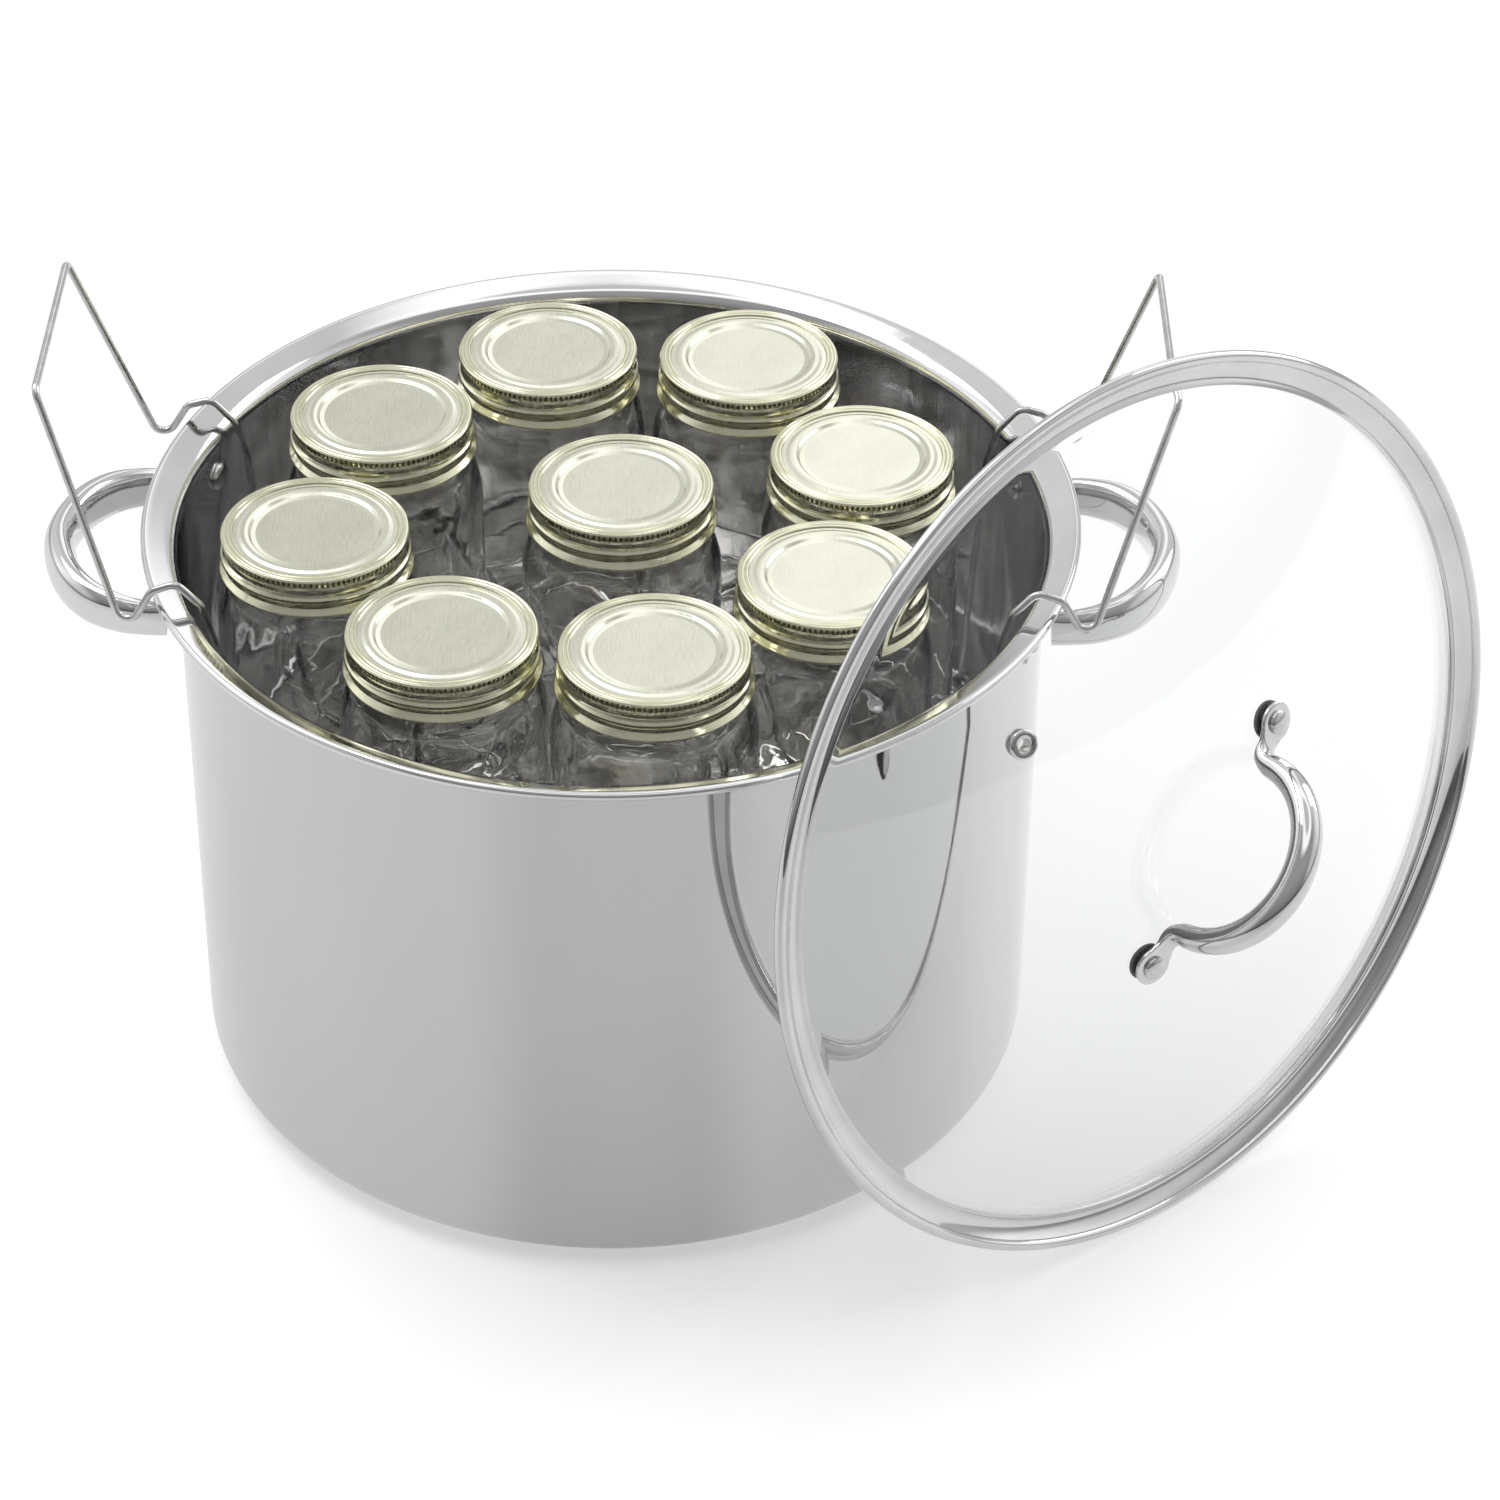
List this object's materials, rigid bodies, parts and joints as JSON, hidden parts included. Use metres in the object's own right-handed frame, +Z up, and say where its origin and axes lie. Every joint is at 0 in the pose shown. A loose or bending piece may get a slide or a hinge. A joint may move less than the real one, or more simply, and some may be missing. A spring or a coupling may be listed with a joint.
{
  "type": "water bath canner",
  "caption": "Round steel stockpot with side handles, a hanging wire jar rack full of sealed preserving jars, and a domed glass lid standing beside it.",
  "frame": {"origin": "centre of the pot's base, on the plane it stands on", "axes": "+Z up along the pot's axis; the side handles and the rack's handles lie along X; the lid stands at +X -Y"},
  "size_m": [0.5414, 0.3822, 0.3374],
  "materials": {
    "pot_steel": "mirror-polished stainless steel",
    "base_aluminium": "bare aluminium, sealed in",
    "handle_steel": "polished stainless steel",
    "wire_steel": "bright plated wire",
    "lid_steel": "polished stainless steel",
    "lid_glass": "clear tempered glass",
    "jar_glass": "clear glass",
    "closure_gold": "pale gold lacquered tinplate",
    "washer_rubber": "dark soft washer"
  },
  "bodies": {
    "pot": {"pot_body": "pot_steel", "base_core": "base_aluminium", "base_cap": "pot_steel", "side_handle_left": "handle_steel", "side_handle_right": "handle_steel", "handle_rivets": "handle_steel"},
    "rack": {"rack_outer_ring": "wire_steel", "rack_inner_rings": "wire_steel", "rack_spokes": "wire_steel", "rack_feet": "wire_steel"},
    "rack_handle_left": {"rack_handle_left": "wire_steel"},
    "rack_handle_right": {"rack_handle_right": "wire_steel"},
    "lid": {"lid_glass": "lid_glass", "lid_band": "lid_steel", "lid_handle": "lid_steel", "lid_rivets": "lid_steel", "lid_washers": "washer_rubber", "lid_vent": "lid_steel"},
    "jar_1": {"jar_glass_1": "jar_glass", "jar_disc_1": "closure_gold", "jar_band_1": "closure_gold"},
    "jar_2": {"jar_glass_2": "jar_glass", "jar_disc_2": "closure_gold", "jar_band_2": "closure_gold"},
    "jar_3": {"jar_glass_3": "jar_glass", "jar_disc_3": "closure_gold", "jar_band_3": "closure_gold"},
    "jar_4": {"jar_glass_4": "jar_glass", "jar_disc_4": "closure_gold", "jar_band_4": "closure_gold"},
    "jar_5": {"jar_glass_5": "jar_glass", "jar_disc_5": "closure_gold", "jar_band_5": "closure_gold"},
    "jar_6": {"jar_glass_6": "jar_glass", "jar_disc_6": "closure_gold", "jar_band_6": "closure_gold"},
    "jar_7": {"jar_glass_7": "jar_glass", "jar_disc_7": "closure_gold", "jar_band_7": "closure_gold"},
    "jar_8": {"jar_glass_8": "jar_glass", "jar_disc_8": "closure_gold", "jar_band_8": "closure_gold"},
    "jar_9": {"jar_glass_9": "jar_glass", "jar_disc_9": "closure_gold", "jar_band_9": "closure_gold"}
  },
  "joints": [
    {"name": "rack_lift", "type": "slide", "parent": "pot", "child": "rack", "axis": [0, 0, 1], "range_m": [0, 0.25]},
    {"name": "rack_handle_left_swing", "type": "hinge", "parent": "rack", "child": "rack_handle_left", "pos_m": [-0.13495, 0, 0.1113], "axis": [0, 1, 0], "range_deg": [-1, 1.5]},
    {"name": "rack_handle_right_swing", "type": "hinge", "parent": "rack", "child": "rack_handle_right", "pos_m": [0.13495, 0, 0.1113], "axis": [0, -1, 0], "range_deg": [-1, 1.5]},
    {"name": "lid_away", "type": "slide", "parent": "pot", "child": "lid", "axis": [0.6314, -0.7755, 0], "range_m": [0, 0.25]},
    {"name": "jar_1_lift", "type": "slide", "parent": "rack", "child": "jar_1", "axis": [0, 0, 1], "range_m": [0, 0.24]},
    {"name": "jar_2_lift", "type": "slide", "parent": "rack", "child": "jar_2", "axis": [0, 0, 1], "range_m": [0, 0.24]},
    {"name": "jar_3_lift", "type": "slide", "parent": "rack", "child": "jar_3", "axis": [0, 0, 1], "range_m": [0, 0.24]},
    {"name": "jar_4_lift", "type": "slide", "parent": "rack", "child": "jar_4", "axis": [0, 0, 1], "range_m": [0, 0.24]},
    {"name": "jar_5_lift", "type": "slide", "parent": "rack", "child": "jar_5", "axis": [0, 0, 1], "range_m": [0, 0.24]},
    {"name": "jar_6_lift", "type": "slide", "parent": "rack", "child": "jar_6", "axis": [0, 0, 1], "range_m": [0, 0.24]},
    {"name": "jar_7_lift", "type": "slide", "parent": "rack", "child": "jar_7", "axis": [0, 0, 1], "range_m": [0, 0.24]},
    {"name": "jar_8_lift", "type": "slide", "parent": "rack", "child": "jar_8", "axis": [0, 0, 1], "range_m": [0, 0.24]},
    {"name": "jar_9_lift", "type": "slide", "parent": "rack", "child": "jar_9", "axis": [0, 0, 1], "range_m": [0, 0.24]}
  ]
}
